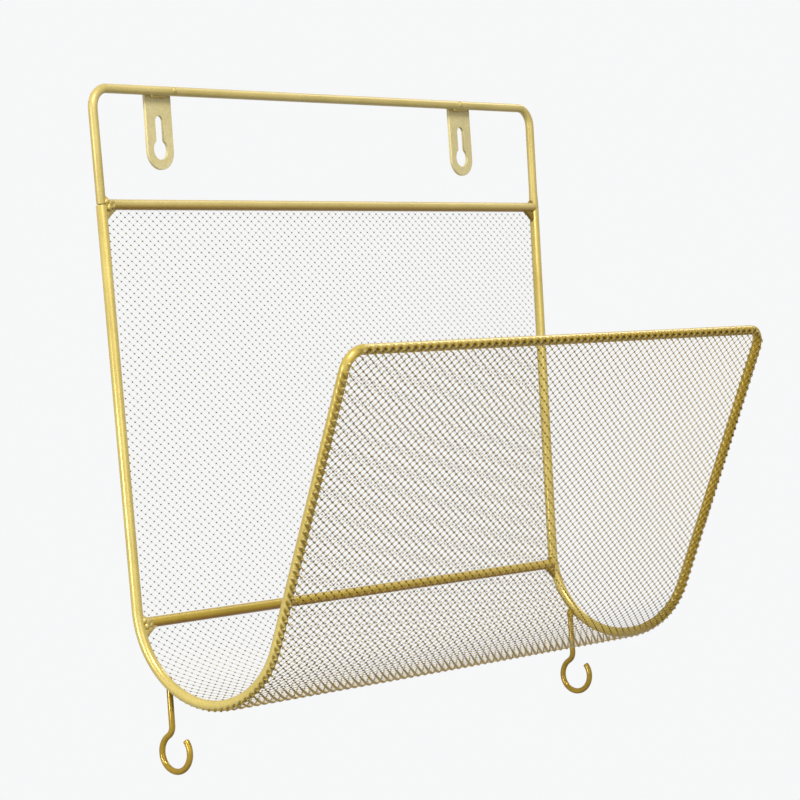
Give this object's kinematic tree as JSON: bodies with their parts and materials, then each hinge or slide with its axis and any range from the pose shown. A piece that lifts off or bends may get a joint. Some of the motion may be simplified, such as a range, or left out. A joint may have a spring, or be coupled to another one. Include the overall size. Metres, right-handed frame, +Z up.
{
  "type": "wall magazine rack",
  "caption": "Wall rack for magazines: a bent wire frame, J-shaped from the side, lined with diamond mesh, hung by keyhole tabs, with open key hooks below.",
  "frame": {"origin": "on the wall plane, midway between the centres of the two keyhole heads", "axes": "+X to the right for someone facing the wall, +Y into the wall, +Z up"},
  "size_m": [0.32, 0.1405, 0.3034],
  "materials": {
    "frame_wire": "satin gold coat over steel wire",
    "mesh": "satin gold coat over steel mesh",
    "tab_plate": "pale satin gold coat over steel sheet",
    "hook_wire": "glossy gold coat over steel wire"
  },
  "bodies": {
    "root": {"top_wire": "frame_wire", "left_side_wire": "frame_wire", "right_side_wire": "frame_wire", "front_rim_wire": "frame_wire", "upper_crossbar": "frame_wire", "lower_crossbar": "frame_wire", "mesh_back": "mesh", "mesh_trough": "mesh", "mesh_front": "mesh", "left_keyhole_tab": "tab_plate", "right_keyhole_tab": "tab_plate", "left_hook": "hook_wire", "right_hook": "hook_wire", "crossbar_welds": "frame_wire", "tab_welds": "frame_wire", "hook_welds": "hook_wire"}
  },
  "joints": []
}
